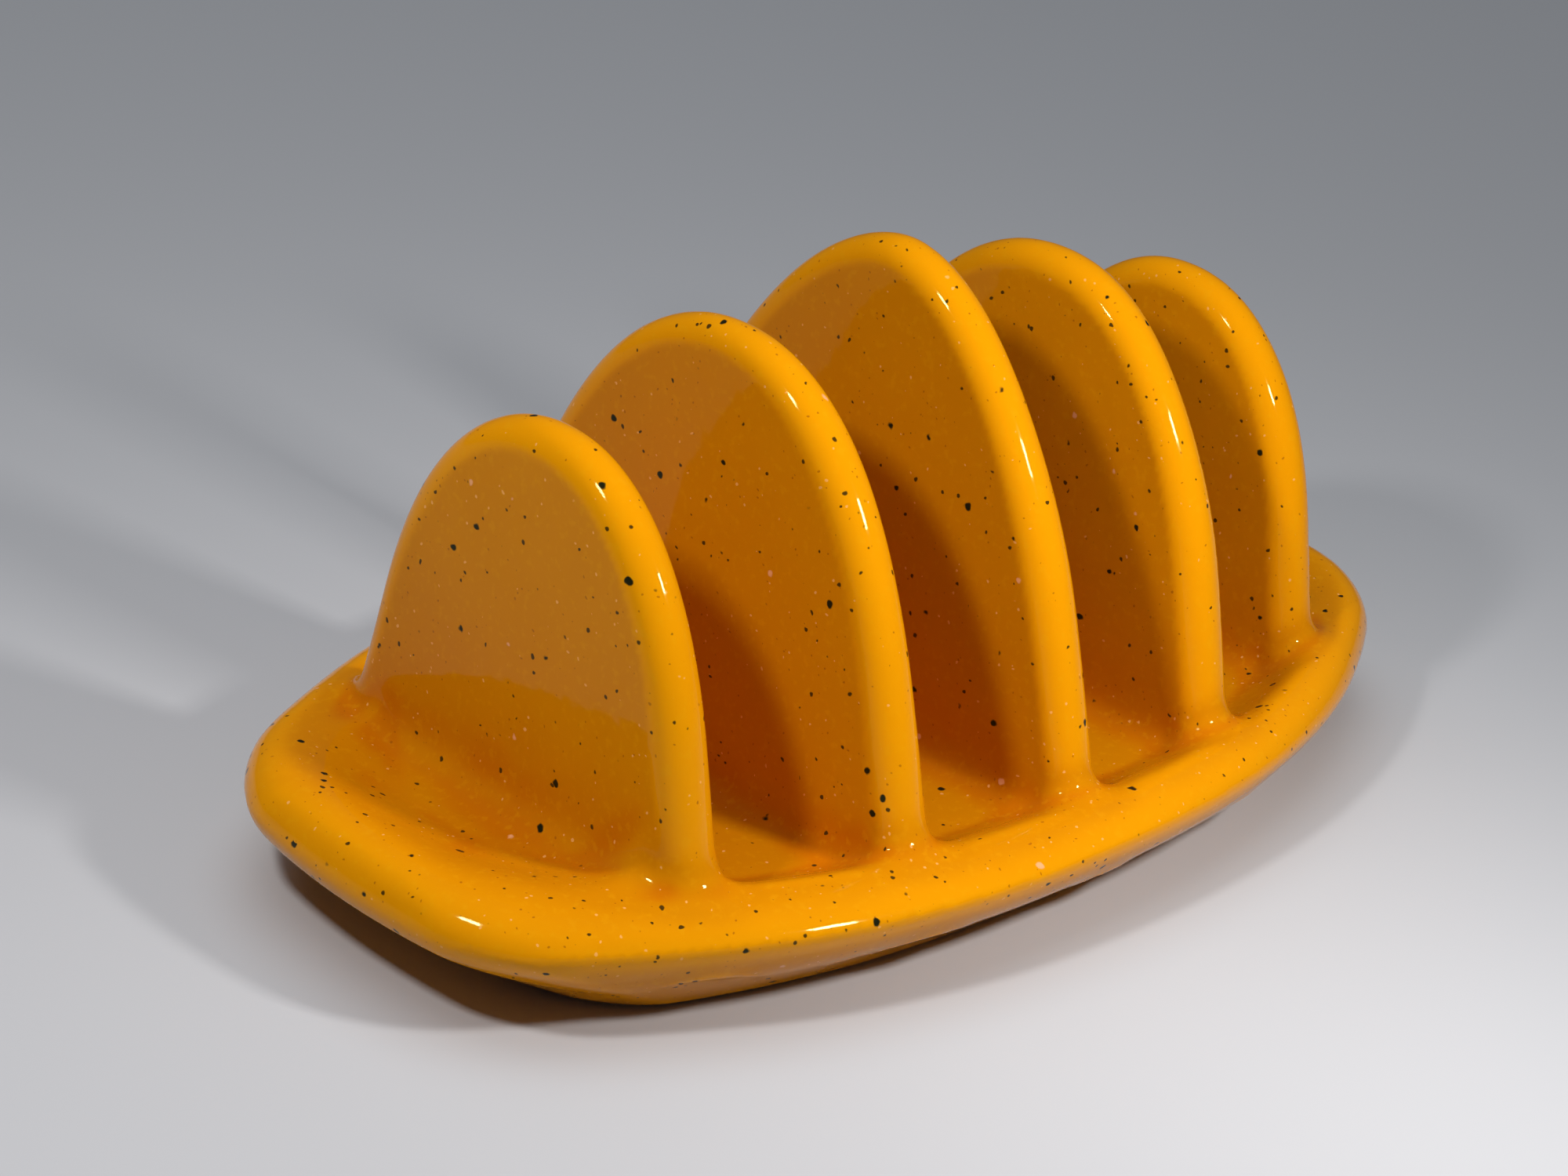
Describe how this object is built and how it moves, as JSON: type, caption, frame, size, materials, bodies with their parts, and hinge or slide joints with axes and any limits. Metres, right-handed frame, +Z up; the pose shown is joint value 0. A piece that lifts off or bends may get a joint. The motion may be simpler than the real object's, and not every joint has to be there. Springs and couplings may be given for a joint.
{
  "type": "toast rack",
  "caption": "Glazed ceramic toast rack: arched dividers on a boat-shaped tray with a rolled rim, end wells and a foot ring.",
  "frame": {"origin": "centre of the rack's footprint, on the surface it rests on", "axes": "+X along the rack, through all the dividers; +Y across it, along each slot; +Z up"},
  "size_m": [0.1692, 0.095, 0.0733],
  "materials": {
    "speckled_glaze": "glossy amber-orange glaze with dark specks, paler and yellower on rounded edges; wiped off the flat underside of the foot ring, which is bare, matt, buff clay"
  },
  "bodies": {
    "root": {"tray": "speckled_glaze", "foot_ring": "speckled_glaze", "divider_1": "speckled_glaze", "divider_2": "speckled_glaze", "divider_3": "speckled_glaze", "divider_4": "speckled_glaze", "divider_5": "speckled_glaze"}
  },
  "joints": []
}
